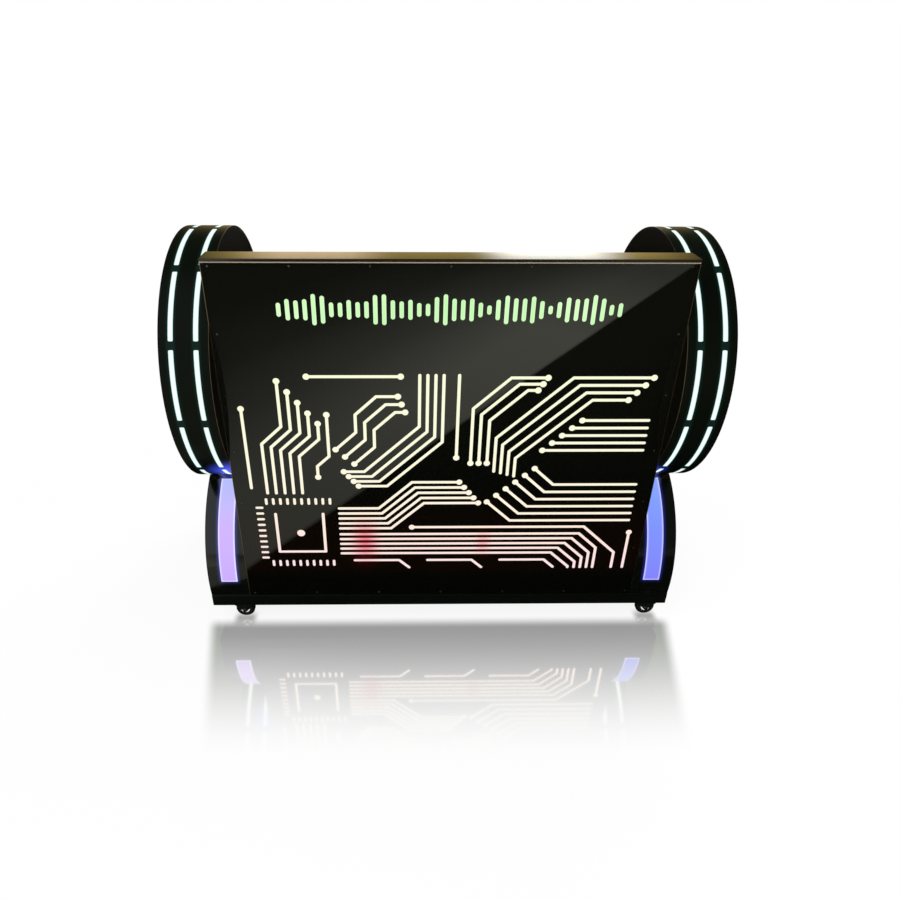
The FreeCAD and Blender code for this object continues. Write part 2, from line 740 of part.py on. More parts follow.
# Light controller: a small case with two sprung buttons in its lid
controller_top = base_top + controller_height
controller_right = controller_left + controller_length
controller_rear = body_rear - controller_rear_inset
controller_back = controller_rear - controller_depth
controller_middle = controller_back + controller_depth / 2
lid_underside = controller_top - controller_wall
controller = block(controller_left, controller_right, controller_back, controller_rear,
                   base_top, controller_top)
controller_hollow = block(controller_left + controller_wall, controller_right - controller_wall,
                          controller_back + controller_wall, controller_rear - controller_wall,
                          base_top + controller_wall, lid_underside)
controller = controller.cut(controller_hollow)
button_collar_top = lid_underside - fit_gap
button_foot = button_collar_top - button_collar_height
button_post_top = button_foot - button_travel - fit_gap
for index, name in enumerate(("mode_button", "colour_button")):
    x = controller_left + controller_length / 2 + (index - 0.5) * button_spread
    place = Vector(x, controller_middle, 0)
    hole = rod(button_radius + running_gap, place + Vector(0, 0, lid_underside - cut_overrun),
               place + Vector(0, 0, controller_top + cut_overrun))
    post = rod(button_post_radius, place + Vector(0, 0, base_top), place + Vector(0, 0, button_post_top))
    controller = controller.cut(hole).fuse(post)
    cap = rod(button_radius, place + Vector(0, 0, button_foot),
              place + Vector(0, 0, controller_top + button_height))
    collar = rod(button_collar_radius, place + Vector(0, 0, button_foot),
                 place + Vector(0, 0, button_collar_top))
    parts[name] = whole(cap.fuse(collar).removeSplitter())
parts["light_controller"] = whole(controller.removeSplitter())

# Power box: a case on the base board with the mains inlet and its rocker in the rear wall
box_rear = body_rear - power_box_rear_inset
power_box_back = box_rear - power_box_depth
box_middle = power_box_left + power_box_length / 2
inlet_level = base_top + power_box_height / 2
power_box = block(power_box_left, power_box_left + power_box_length, power_box_back, box_rear,
                  base_top, base_top + power_box_height)
box_hollow = block(power_box_left + power_box_wall, power_box_left + power_box_length - power_box_wall,
                   power_box_back + power_box_wall, box_rear - power_box_wall,
                   base_top + power_box_wall, base_top + power_box_height - power_box_wall)
inlet_half_width = inlet_width / 2
inlet_half_height = inlet_height / 2
box_window = block(box_middle - inlet_half_width - fit_gap, box_middle + inlet_half_width + fit_gap,
                   box_rear - power_box_wall - cut_overrun, box_rear + cut_overrun,
                   inlet_level - inlet_half_height - fit_gap, inlet_level + inlet_half_height + fit_gap)
parts["power_box"] = whole(power_box.cut(box_hollow).cut(box_window))

inlet_front = box_rear + inlet_flange_depth
housing = block(box_middle - inlet_half_width, box_middle + inlet_half_width, inlet_front - inlet_depth,
                inlet_front, inlet_level - inlet_half_height, inlet_level + inlet_half_height)
inlet_rim = block(box_middle - inlet_half_width - inlet_flange, box_middle + inlet_half_width + inlet_flange,
                  box_rear, inlet_front, inlet_level - inlet_half_height - inlet_flange,
                  inlet_level + inlet_half_height + inlet_flange)
socket_level = inlet_level - socket_centre_drop
socket = block(box_middle - socket_width / 2, box_middle + socket_width / 2, inlet_front - socket_depth,
               inlet_front + cut_overrun, socket_level - socket_height / 2, socket_level + socket_height / 2)
rocker_level = inlet_level + rocker_centre_rise
pivot_y = inlet_front - rocker_pivot_depth
rocker_half = rocker_length / 2
pocket_half = rocker_half + rocker_end_gap
pivot = Vector(box_middle, pivot_y, rocker_level)
rocker_pocket = rod(rocker_radius + fit_gap, pivot - Vector(pocket_half, 0, 0),
                    pivot + Vector(pocket_half, 0, 0))
pin_reach = rocker_half + rocker_pin_length
pin_holes = rod(rocker_pin_radius + running_gap, pivot - Vector(pin_reach + fit_gap, 0, 0),
                pivot + Vector(pin_reach + fit_gap, 0, 0))
inlet = housing.fuse(inlet_rim).cut([socket, rocker_pocket, pin_holes])
for side, lift in ((-1, -pin_offset), (0, pin_offset), (1, -pin_offset)):
    x = box_middle + side * pin_spread
    z = socket_level + lift
    inlet = inlet.fuse(block(x - pin_thickness / 2, x + pin_thickness / 2, inlet_front - socket_depth,
                             inlet_front - socket_depth + pin_length, z - pin_width / 2, z + pin_width / 2))
parts["power_inlet"] = whole(inlet.removeSplitter())

rocker = rod(rocker_radius, pivot - Vector(rocker_half, 0, 0), pivot + Vector(rocker_half, 0, 0))
rocker_flat = pivot_y + rocker_radius - rocker_flat_depth
rocker_low = rocker_level - rocker_length
rocker_high = rocker_level + rocker_length
for turn, half_low, half_high in ((-rocker_tilt, rocker_level, rocker_high),
                                  (rocker_tilt, rocker_low, rocker_level)):
    flat = block(box_middle - rocker_length, box_middle + rocker_length, rocker_flat,
                 rocker_flat + rocker_radius, rocker_low, rocker_high)
    half = block(box_middle - rocker_length, box_middle + rocker_length, pivot_y - rocker_length,
                 pivot_y + rocker_length, half_low, half_high)
    flat.rotate(pivot, Vector(1, 0, 0), turn)
    rocker = rocker.cut(flat.common(half))
pins = rod(rocker_pin_radius, pivot - Vector(pin_reach, 0, 0), pivot + Vector(pin_reach, 0, 0))
rocker = rocker.fuse(pins).removeSplitter()
rocker.rotate(pivot, Vector(1, 0, 0), rocker_tilt)
parts["power_rocker"] = whole(rocker)

# Casters: a plate with a race, a swivelling fork, an axle, a wheel and a brake pedal each.
# They are drawn for a swivel axis at X = 0, Y = 0. All trail towards +X, as after a roll to the left.
crown_underside = 2 * wheel_radius + wheel_crown_gap
crown_top = crown_underside + crown_thickness
plate_underside = caster_height - caster_plate_thickness
leg_inner = wheel_width / 2 + wheel_side_gap
leg_outer = leg_inner + leg_thickness
pedal_level = crown_underside - pedal_pivot_drop
half_plate = caster_plate_width / 2
floor_axle = Vector(wheel_trail, 0, wheel_radius)


def caster_plate():
    plate = rounded_block(-half_plate, half_plate, -half_plate, half_plate, plate_underside, caster_height,
                          caster_plate_corner, Vector(0, 0, 1))
    race = rod(race_radius, Vector(0, 0, crown_top + race_gap), Vector(0, 0, plate_underside))
    bore = rod(kingpin_radius + running_gap, Vector(0, 0, crown_top),
               Vector(0, 0, caster_height + cut_overrun))
    return plate.fuse(race).removeSplitter().cut(bore)


def caster_leg(y_low, y_high):
    """A side leg: from the crown down to the axle's eye and out to the pedal's eye."""
    ear_end = pedal_pivot_out + 2 * pedal_eye_radius
    outline = [(-crown_reach, crown_top), (-crown_reach, crown_underside - crown_thickness),
               (wheel_trail - leg_eye_radius, wheel_radius), (wheel_trail, wheel_radius - leg_eye_radius),
               (wheel_trail + leg_eye_radius, wheel_radius), (ear_end, pedal_level - pedal_eye_radius),
               (ear_end, pedal_level + pedal_eye_radius), (crown_reach, crown_top)]
    corners = [Vector(x, y_low, z) for x, z in outline]
    face = Part.Face(Part.makePolygon(corners + corners[:1]))
    return face.extrude(Vector(0, y_high - y_low, 0))


def caster_fork():
    crown = block(-crown_reach, crown_reach, -leg_outer, leg_outer, crown_underside, crown_top)
    kingpin = rod(kingpin_radius, Vector(0, 0, crown_underside),
                  Vector(0, 0, caster_height - kingpin_recess))
    legs = [caster_leg(leg_inner, leg_outer), caster_leg(-leg_outer, -leg_inner)]
    fork = crown.fuse([kingpin] + legs).removeSplitter()
    reach = Vector(0, leg_outer + cut_overrun, 0)
    pedal_axis = Vector(pedal_pivot_out, 0, pedal_level)
    return fork.cut([rod(axle_radius + running_gap, floor_axle - reach, floor_axle + reach),
                     rod(pedal_pin_radius + running_gap, pedal_axis - reach, pedal_axis + reach)])


def caster_axle():
    reach = Vector(0, leg_outer, 0)
    head = Vector(0, axle_head_height, 0)
    ends = [rod(axle_head_radius, floor_axle + reach, floor_axle + reach + head),
            rod(axle_head_radius, floor_axle - reach - head, floor_axle - reach)]
    return rod(axle_radius, floor_axle - reach, floor_axle + reach).fuse(ends).removeSplitter()


def caster_wheel():
    half_width = wheel_width / 2
    reach = Vector(0, half_width, 0)
    wheel = rod(wheel_radius, floor_axle - reach, floor_axle + reach)
    shoulders = [edge for edge in wheel.Edges if edge.Curve.TypeId == "Part::GeomCircle"]
    wheel = wheel.makeFillet(tyre_round, shoulders)
    for side in (-1, 1):
        web = floor_axle + Vector(0, side * wheel_web / 2, 0)
        flank = floor_axle + Vector(0, side * (half_width + cut_overrun), 0)
        dish = rod(wheel_radius - tyre_depth, web, flank).cut(rod(hub_radius, web, flank))
        wheel = wheel.cut(dish)
    return wheel.cut(rod(axle_radius + running_gap, floor_axle - reach * 2, floor_axle + reach * 2))


def brake_pedal():
    half_width = leg_inner - pedal_side_gap
    pivot_low = Vector(pedal_pivot_out, -half_width, pedal_level)
    pivot_high = Vector(pedal_pivot_out, half_width, pedal_level)
    pin_low = Vector(pedal_pivot_out, -leg_outer, pedal_level)
    pin_high = Vector(pedal_pivot_out, leg_outer, pedal_level)
    tread_end = pedal_pivot_out + pedal_length
    tread = block(pedal_pivot_out, tread_end, -half_width, half_width,
                  pedal_level, pedal_level + pedal_thickness)
    tip_corners = [edge for edge in tread.Edges
                   if edge.BoundBox.XMin > pedal_pivot_out
                   and edge.BoundBox.YMax - edge.BoundBox.YMin < pedal_corner]
    tread = tread.makeFillet(pedal_corner, tip_corners)
    barrel = rod(pedal_eye_radius, pivot_low, pivot_high)
    pin = rod(pedal_pin_radius, pin_low, pin_high)
    return barrel.fuse(tread).fuse(pin)


caster_pieces = {"caster_fork": caster_fork(), "caster_axle": caster_axle(),
                 "caster_wheel": caster_wheel(), "caster_brake": brake_pedal()}
caster_spread = half_base - caster_side_inset
front_caster_y = caster_front_inset - panel_front
rear_caster_y = body_rear - caster_rear_inset
caster_places = {"front_left": Vector(-caster_spread, front_caster_y, 0),
                 "front_right": Vector(caster_spread, front_caster_y, 0),
                 "rear_left": Vector(-caster_spread, rear_caster_y, 0),
                 "rear_right": Vector(caster_spread, rear_caster_y, 0)}
plates = []
for corner, place in caster_places.items():
    for piece, shape in caster_pieces.items():
        parts[corner + "_" + piece] = whole(shape.translated(place))
    plates.append(caster_plate().translated(place))
parts["caster_plates"] = Part.makeCompound([whole(plate) for plate in plates])

os.makedirs("parts", exist_ok=True)
for node, shape in parts.items():
    shape.exportStep("parts/" + node + ".step")
    state = "valid" if shape.isValid() else "NOT VALID"
    print(node, len(shape.Solids), "solids", round(shape.Volume), "mm3", state)
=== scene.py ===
import json
import math

import bmesh
import bpy
from mathutils import Matrix, Vector

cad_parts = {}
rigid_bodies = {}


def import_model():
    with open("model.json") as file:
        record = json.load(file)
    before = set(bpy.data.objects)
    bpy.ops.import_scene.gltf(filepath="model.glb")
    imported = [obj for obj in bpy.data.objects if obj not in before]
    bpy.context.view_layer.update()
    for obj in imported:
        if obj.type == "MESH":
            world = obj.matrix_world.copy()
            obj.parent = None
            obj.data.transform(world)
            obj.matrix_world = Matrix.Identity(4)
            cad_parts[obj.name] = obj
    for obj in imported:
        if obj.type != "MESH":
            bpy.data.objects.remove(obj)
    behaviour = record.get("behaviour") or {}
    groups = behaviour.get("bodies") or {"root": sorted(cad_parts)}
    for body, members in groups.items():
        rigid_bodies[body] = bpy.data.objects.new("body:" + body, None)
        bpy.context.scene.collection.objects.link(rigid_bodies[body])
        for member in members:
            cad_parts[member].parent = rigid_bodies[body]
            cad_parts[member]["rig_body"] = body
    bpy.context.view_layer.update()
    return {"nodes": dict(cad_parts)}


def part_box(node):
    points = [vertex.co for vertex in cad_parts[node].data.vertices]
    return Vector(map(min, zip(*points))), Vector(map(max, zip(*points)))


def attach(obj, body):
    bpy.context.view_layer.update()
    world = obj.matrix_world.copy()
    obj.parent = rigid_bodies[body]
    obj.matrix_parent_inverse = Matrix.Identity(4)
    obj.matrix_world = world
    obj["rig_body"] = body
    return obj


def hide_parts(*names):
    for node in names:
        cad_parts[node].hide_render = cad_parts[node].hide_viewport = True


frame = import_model()
nodes = frame["nodes"]


# Caster wheels: a black rubber tyre moulded onto a dark ribbed hub, with a bush whose white is a painted
# glint standing in for the shine at the hub.
# Each turns on its own axle in a fork, so all three ride on the wheel's body.
caster_corners = ("front_left", "front_right", "rear_left", "rear_right")
tyre_depth = 0.009
tyre_shoulder = 0.0042
tread_groove = 0.0007
tread_groove_place = 0.0042
hub_bore = 0.0042
bush_radius = 0.0145
bush_edge = 0.0007
hub_rim_wall = 0.0007
hub_web = 0.006
hub_rib_count = 6
hub_rib_width = 0.0022
hub_rib_rise = 0.0032
wheel_steps = 72
same_place = 1e-6


class Wire:
    """A shader output: arithmetic on it adds Math nodes to its finish."""

    def __init__(self, finish, socket):
        self.finish = finish
        self.socket = socket

    def math(self, operation, first, second=0.0):
        return self.finish.node("Math", {"operation": operation}, {0: first, 1: second})

    def __add__(self, other):
        return self.math("ADD", self, other)

    def __sub__(self, other):
        return self.math("SUBTRACT", self, other)

    def __rsub__(self, other):
        return self.math("SUBTRACT", other, self)

    def __mul__(self, other):
        return self.math("MULTIPLY", self, other)

    def __abs__(self):
        return self.math("ABSOLUTE", self)

    __radd__ = __add__
    __rmul__ = __mul__


class Finish:
    """A material in the making: every node comes from node(), and surface() closes it."""

    def __init__(self, name, kind=bpy.data.materials):
        self.owner = kind.new(name)
        self.owner.use_nodes = True
        self.tree = self.owner.node_tree
        self.tree.nodes.clear()
        self.place = self.node("TexCoord", output="Object")
        self.x, self.y, self.z = [self.node("SeparateXYZ", {}, {0: self.place}, axis) for axis in "XYZ"]

    def node(self, kind, settings=None, sockets=None, output=0):
        made = self.tree.nodes.new("ShaderNode" + kind)
        for key, value in (settings or {}).items():
            if key == "stops":
                for stop, (position, colour) in enumerate(value):
                    elements = made.color_ramp.elements
                    element = elements[stop] if stop < 2 else elements.new(position)
                    element.position = position
                    element.color = colour
            else:
                setattr(made, key, value)
        for key, value in (sockets or {}).items():
            if isinstance(value, Wire):
                self.tree.links.new(value.socket, made.inputs[key])
            else:
                made.inputs[key].default_value = value
        return Wire(self, made.outputs[output]) if made.outputs else None

    def noise(self, scale, detail=3.0, stretch=(1.0, 1.0, 1.0)):
        spot = self.node("Mapping", {}, {"Vector": self.place, "Scale": stretch})
        return self.node("TexNoise", {}, {"Vector": spot, "Scale": scale, "Detail": detail})

    def step(self, value, low, high):
        """0 at low and before, 1 at high and after, smooth between; low may be the larger."""
        return self.node("MapRange", {"interpolation_type": "SMOOTHSTEP"},
                         {"Value": value, "From Min": low, "From Max": high})

    def least(self, first, second):
        return self.node("Math", {"operation": "MINIMUM"}, {0: first, 1: second})

    def mix(self, share, first, second):
        return self.node("Mix", {"data_type": "RGBA"}, {0: share, 6: first, 7: second}, 2)

    def surface(self, sockets, relief=None, depth=0.0):
        sockets = dict(sockets)
        if relief is not None:
            sockets["Normal"] = self.node("Bump", {}, {"Height": relief, "Distance": depth})
        shader = self.node("BsdfPrincipled", {}, sockets)
        self.node("OutputMaterial", {}, {"Surface": shader})
        return self.owner


def tint(red, green, blue):
    """A colour from its display values, 0 to 255."""
    shares = [value / 255 for value in (red, green, blue)]
    return tuple(share / 12.92 if share < 0.04045 else ((share + 0.055) / 1.055) ** 2.4
                 for share in shares) + (1.0,)


def tyre_finish():
    rubber = Finish("tyre_rubber")
    bloom = rubber.noise(60.0, 4.0)
    grit = rubber.noise(1800.0, 2.0)
    colour = rubber.mix(bloom, tint(8, 8, 8), tint(20, 20, 19))
    return rubber.surface({"Base Color": colour, "Roughness": 0.4 + bloom * 0.3, "Specular IOR Level": 0.25},
                          grit, depth=0.00012)


def moulded_finish(name, dark, light):
    plastic = Finish(name)
    cloud = plastic.noise(90.0, 4.0)
    grain = plastic.noise(2400.0, 2.0)
    colour = plastic.mix(cloud, dark, light)
    return plastic.surface({"Base Color": colour, "Roughness": 0.38 + cloud * 0.2}, grain, depth=0.00006)


def turned(profile):
    """A solid of revolution about the Y axis from a closed outline of (radius, along) points."""
    shape = bmesh.new()
    loop = [shape.verts.new((radius, along, 0)) for radius, along in profile]
    sides = [shape.edges.new(pair) for pair in zip(loop, loop[1:] + loop[:1])]
    bmesh.ops.spin(shape, geom=loop + sides, cent=(0, 0, 0), axis=(0, 1, 0), angle=2 * math.pi,
                   steps=wheel_steps, use_merge=True)
    bmesh.ops.remove_doubles(shape, verts=shape.verts, dist=same_place)
    bmesh.ops.recalc_face_normals(shape, faces=shape.faces)
    return shape


def add_block(shape, middle, size, turn=Matrix()):
    """Add a block to a shape, given its middle and size, and then turned."""
    place = turn @ Matrix.Translation(middle) @ Matrix.Diagonal((*size, 1))
    return bmesh.ops.create_cube(shape, size=1, matrix=place)["verts"]


def new_piece(name, shape, material, body, sharp=32):
    """A finished shape as a piece on a body; edges sharper than an angle stay crisp."""
    mesh = bpy.data.meshes.new(name)
    shape.to_mesh(mesh)
    shape.free()
    mesh.materials.append(material)
    mesh.polygons.foreach_set("use_smooth", [True] * len(mesh.polygons))
    mesh.set_sharp_from_angle(angle=math.radians(sharp))
    piece = bpy.data.objects.new(name, mesh)
    bpy.context.scene.collection.objects.link(piece)
    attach(piece, body)
    return piece


rubber_black = tyre_finish()
hub_grey = moulded_finish("hub_plastic", tint(24, 24, 25), tint(40, 40, 41))
# The bush's white is a painted glint: a bright colour that stands in for the shine at the hub.
bush_glint_white = moulded_finish("bush_painted_glint", tint(228, 228, 220), tint(250, 250, 244))
for corner in caster_corners:
    node = corner + "_caster_wheel"
    low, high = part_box(node)
    middle = (low + high) / 2
    radius = (high.z - low.z) / 2
    half = (high.y - low.y) / 2
    seat = radius - tyre_depth
    side = [(seat, half - tyre_shoulder / 4), (radius - tyre_shoulder * 1.6, half),
            (radius - tyre_shoulder / 2, half - tyre_shoulder / 2), (radius, half - tyre_shoulder * 1.3),
            (radius, tread_groove_place + tread_groove), (radius - tread_groove, tread_groove_place),
            (radius, tread_groove_place - tread_groove)]
    tyre = turned(side + [(r, -along) for r, along in reversed(side)])
    bmesh.ops.translate(tyre, vec=middle, verts=tyre.verts)
    tyre = new_piece(corner + "_tyre", tyre, rubber_black, corner + "_wheel")
    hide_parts(node)
    flank = [(bush_radius, hub_web), (seat - hub_rim_wall, hub_web),
             (seat - hub_rim_wall, half - tyre_shoulder / 2), (seat, half - tyre_shoulder / 2)]
    hub = turned(flank + [(r, -along) for r, along in reversed(flank)])
    for rib in range(hub_rib_count):
        turn = Matrix.Rotation(2 * math.pi * rib / hub_rib_count, 4, "Y")
        for out in (-1, 1):
            add_block(hub, ((bush_radius + seat) / 2, out * (hub_web + hub_rib_rise / 2), 0),
                      (seat - bush_radius, hub_rib_rise, hub_rib_width), turn)
    bmesh.ops.translate(hub, vec=middle, verts=hub.verts)
    new_piece(corner + "_hub", hub, hub_grey, corner + "_wheel")
    collar = [(hub_bore, half), (bush_radius - bush_edge, half), (bush_radius, half - bush_edge)]
    bush = turned(collar + [(r, -along) for r, along in reversed(collar)])
    bmesh.ops.translate(bush, vec=middle, verts=bush.verts)
    new_piece(corner + "_bush", bush, bush_glint_white, corner + "_wheel")


# Caster hardware: plates, pressed forks and brake pedals in a black coat, and zinc-plated axles.
# The forks swivel under the plates, which are screwed to the underside of the base board.
pressed_edge = 0.0005
pedal_edge = 0.0007
eased_angle = 40
weld_distance = 1e-5
flat_angle = 0.2


def metal_finish(name, dark, light, rough):
    metal = Finish(name)
    cloud = metal.noise(55.0, 5.0)
    rub = metal.noise(420.0, 3.0, (1.0, 1.0, 6.0))
    colour = metal.mix(cloud, dark, light)
    return metal.surface({"Base Color": colour, "Metallic": 1.0,
                          "Roughness": rough + cloud * 0.2 + rub * 0.12}, rub, depth=0.00003)


def coated_finish(name, base, worn):
    coat = Finish(name)
    cloud = coat.noise(120.0, 5.0)
    pebble = coat.noise(1500.0, 2.0)
    colour = coat.mix(coat.step(cloud, 0.6, 0.78), base, worn)
    return coat.surface({"Base Color": colour, "Roughness": 0.4 + pebble * 0.25, "Specular IOR Level": 0.35},
                        pebble, depth=0.00008)


def smooth_copy(node, material):
    """A copy of a CAD piece with its facets shaded smooth, shown in its place."""
    shape = bmesh.new()
    shape.from_mesh(nodes[node].data)
    bmesh.ops.remove_doubles(shape, verts=shape.verts, dist=weld_distance)
    bmesh.ops.dissolve_limit(shape, angle_limit=math.radians(flat_angle), verts=shape.verts,
                             edges=shape.edges)
    piece = new_piece(node + "_finished", shape, material, nodes[node]["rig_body"])
    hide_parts(node)
    return piece


def eased(node, edge, material, segments=2):
    """A smooth copy whose sharp edges are eased by a small round."""
    piece = smooth_copy(node, material)
    bevel = piece.modifiers.new("eased_edges", "BEVEL")
    bevel.width = edge
    bevel.segments = segments
    bevel.limit_method = "ANGLE"
    bevel.angle_limit = math.radians(eased_angle)
    bevel.use_clamp_overlap = False
    bevel.harden_normals = True


def dress(material, *names):
    """Give CAD pieces whose shape is final their finish."""
    for name in names:
        for slot in nodes[name].material_slots:
            slot.material = material


zinc = metal_finish("zinc_plate", tint(150, 153, 158), tint(206, 208, 210), 0.24)
fork_black = coated_finish("fork_coat", tint(14, 14, 15), tint(58, 57, 56))
pedal_black = coated_finish("pedal_coat", tint(20, 20, 21), tint(84, 83, 81))
dress(fork_black, "caster_plates")
for corner in caster_corners:
    eased(corner + "_caster_fork", pressed_edge, fork_black)
    eased(corner + "_caster_axle", pressed_edge, zinc)
    eased(corner + "_caster_brake", pedal_edge, pedal_black)


# Base board: a thick board with black satin lacquer that carries light box, columns and
# casters. Its edges are eased by sanding before the lacquer goes on.
board_edge = 0.002


def lacquer_finish(name, gloss, shine, dark=tint(4, 6, 4), light=tint(9, 11, 8), glow=None):
    """Black lacquer on board: a slight orange peel, handling marks, and a glow where one is given."""
    coat = Finish(name)
    broad = coat.noise(7.0, 4.0)
    peel = coat.noise(520.0, 2.0)
    marks = coat.step(coat.noise(26.0, 6.0, (1.0, 1.0, 3.0)), 0.6, 0.78)
    colour = coat.mix(broad, dark, light)
    sockets = {"Base Color": coat.mix(marks * 0.2, colour, tint(36, 36, 35)),
               "Roughness": gloss + broad * 0.08 + marks * 0.1, "Specular IOR Level": shine}
    if glow is not None:
        sockets["Emission Color"] = glow(coat)
        sockets["Emission Strength"] = 1.0
    return coat.surface(sockets, peel, depth=0.00002)


eased("base_board", board_edge, lacquer_finish("base_lacquer", 0.3, 0.2), 3)


# Side columns: hollow shells of board, lacquered to a gloss, with a bowed front. In each
# sits a lit strip of opal acrylic, paler along its edges, with a bar of lights behind it.
column_glow_reach = 0.015
column_glow_foot = (-0.01, 0.02)
column_glow_head = (0.05, -0.02)
column_glow_depth = 0.03
light_dot_pitch = 0.016
light_dot_radii = (0.0022, 0.0018)
strip_flange = 0.006
strip_border = 0.0065


def column_finish(side, glow_colour):
    low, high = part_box(side + "_column_light")
    middle = (low.x + high.x) / 2
    window_half = (high.x - low.x) / 2 - strip_flange

    def spill(coat):
        near = coat.step(abs(coat.x - middle) - window_half, column_glow_reach, 0.0)
        foot = coat.step(coat.z, *(low.z + reach for reach in column_glow_foot))
        head = coat.step(coat.z, *(high.z + reach for reach in column_glow_head))
        level = foot * head
        front = coat.step(coat.y, high.y + column_glow_depth, high.y)
        return coat.mix(near * near * level * front, (0, 0, 0, 1), glow_colour)
    return lacquer_finish(side + "_column_lacquer", 0.12, 0.5, glow=spill)


def strip_finish(side, foot_colour, middle_colour, top_colour, border_colour):
    low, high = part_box(side + "_column_light")
    middle = (low.x + high.x) / 2
    window_half = (high.x - low.x) / 2 - strip_flange
    strip = Finish(side + "_strip_light")
    rise = strip.node("MapRange", {}, {"Value": strip.z, "From Min": low.z, "From Max": high.z})
    cloud = strip.noise(14.0, 2.0)
    body = strip.node("ValToRGB", {"stops": [(0.0, foot_colour), (1.0, top_colour), (0.62, middle_colour)]},
                      {"Fac": rise + cloud * 0.12 - 0.06})
    edge = strip.step(abs(strip.x - middle), window_half - strip_border, window_half)
    foot = strip.step(strip.z, low.z + strip_flange + strip_border, low.z + strip_flange)
    head = strip.step(strip.y, high.y - strip_border * 3, high.y - strip_border)
    edge = strip.node("Math", {"operation": "ADD", "use_clamp": True}, {0: edge + foot, 1: head})
    lit = strip.mix(edge, body, border_colour)
    frost = strip.noise(900.0, 2.0)
    return strip.surface({"Base Color": tint(30, 30, 38), "Roughness": 0.3 + frost * 0.1,
                          "Emission Color": lit, "Emission Strength": 1.0}, frost, depth=0.00003)


def light_bar_finish():
    strip = Finish("light_bar_white")
    cell = strip.node("Math", {"operation": "PINGPONG"}, {0: strip.x + strip.z, 1: light_dot_pitch / 2})
    colour = strip.mix(strip.step(cell, *light_dot_radii), tint(232, 232, 226), tint(246, 222, 120))
    return strip.surface({"Base Color": colour, "Roughness": 0.4 + strip.noise(300.0) * 0.2})


light_bar_white = light_bar_finish()
for side, glow_colour in (("left", tint(50, 56, 136)), ("right", tint(34, 36, 128))):
    smooth_copy(side + "_column_shell", column_finish(side, glow_colour))
smooth_copy("left_column_light", strip_finish("left", tint(200, 170, 252), tint(206, 176, 254),
                                              tint(180, 190, 250), tint(238, 228, 255)))
smooth_copy("right_column_light", strip_finish("right", tint(128, 128, 252), tint(124, 146, 253),
                                               tint(134, 166, 252), tint(204, 206, 255)))
dress(light_bar_white, "column_led_bars")


# Side drums: a slotted black rim and two faces close over an opal diffuser, whose raised
# bars fill the slots. A plywood ring with two light tapes stands inside each drum, and a
# thin bronze bead runs round the edge of its inner face.
slot_row_inset = 0.033
slot_half = 0.0065
drum_glow_reach = 0.012
underside_glow_angle = math.radians(46)
underside_glow_core = 0.01
drum_bead_radius = 0.0008
drum_bead_sides = 8
drum_bead_steps = 160
drum_bead_sharp = 60


def slot_rows(side):
    """The X of a drum's two rows of slots."""
    low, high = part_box(side + "_drum_rim")
    return low.x + slot_row_inset, high.x - slot_row_inset


def rim_finish(side, under_colour, under_reach):
    low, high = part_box(side + "_drum_rim")
    radius = (high.z - low.z) / 2
    rows = slot_rows(side)
    coat = Finish(side + "_rim_black")
    broad = coat.noise(6.0, 4.0)
    peel = coat.noise(420.0, 2.0)
    streak = coat.noise(30.0, 4.0, (1.0, 0.2, 0.2))
    aside = coat.least(abs(coat.x - rows[0]), abs(coat.x - rows[1]))
    near = coat.step(aside, slot_half + drum_glow_reach, slot_half)
    lit = coat.mix(near * near, (0, 0, 0, 1), tint(5, 30, 26))
    spot = Vector((min(low.x, high.x, key=abs),
                   (low.y + high.y) / 2 - radius * math.cos(underside_glow_angle),
                   (low.z + high.z) / 2 - radius * math.sin(underside_glow_angle)))
    reach = coat.node("VectorMath", {"operation": "DISTANCE"}, {0: coat.place, 1: spot}, "Value")
    under = coat.step(reach, under_reach, underside_glow_core)
    lit = coat.mix(under, lit, under_colour)
    colour = coat.mix(broad, tint(5, 8, 4), tint(11, 15, 9))
    return coat.surface({"Base Color": colour, "Roughness": 0.28 + broad * 0.06 + streak * 0.08,
                         "Specular IOR Level": 0.05, "Emission Color": lit, "Emission Strength": 1.0},
                        peel, depth=0.00004)


def drum_light_finish(side):
    rows = slot_rows(side)
    strip = Finish(side + "_drum_light")
    aside = strip.least(abs(strip.x - rows[0]), abs(strip.x - rows[1]))
    cloud = strip.noise(24.0, 2.0)
    lit = strip.node("ValToRGB", {"stops": [(0.0, tint(249, 255, 254)), (1.0, tint(196, 238, 232)),
                                            (0.62, tint(241, 254, 251))]},
                     {"Fac": aside * (1 / slot_half) + cloud * 0.1 - 0.05})
    frost = strip.noise(900.0, 2.0)
    return strip.surface({"Base Color": tint(40, 46, 46), "Roughness": 0.32 + frost * 0.1,
                          "Emission Color": lit, "Emission Strength": 1.0}, frost, depth=0.00003)


def plywood_finish():
    wood = Finish("birch_plywood")
    warp = wood.noise(9.0, 3.0)
    grain = wood.noise(130.0, 4.0, (0.08, 1.0, 1.0))
    pores = wood.noise(900.0, 2.0, (0.1, 1.0, 1.0))
    colour = wood.mix(grain * 0.7 + warp * 0.3, tint(176, 140, 96), tint(222, 194, 150))
    return wood.surface({"Base Color": colour, "Roughness": 0.55 + grain * 0.2}, pores, depth=0.00008)


def drum_face_finish():
    coat = Finish("drum_face_satin")
    broad = coat.noise(3.0, 2.0)
    colour = coat.mix(broad, tint(8, 8, 3), tint(13, 12, 5))
    return coat.surface({"Base Color": colour, "Roughness": 0.34 + broad * 0.1, "Specular IOR Level": 0.03},
                        coat.noise(700.0, 2.0), depth=0.000004)


def plated_finish(name, dark, light):
    plate = Finish(name)
    cloud = plate.noise(6.0, 4.0)
    brush = plate.noise(300.0, 3.0, (0.05, 1.0, 1.0))
    colour = plate.mix(cloud, dark, light)
    return plate.surface({"Base Color": colour, "Roughness": 0.3 + brush * 0.15}, brush, depth=0.00002)


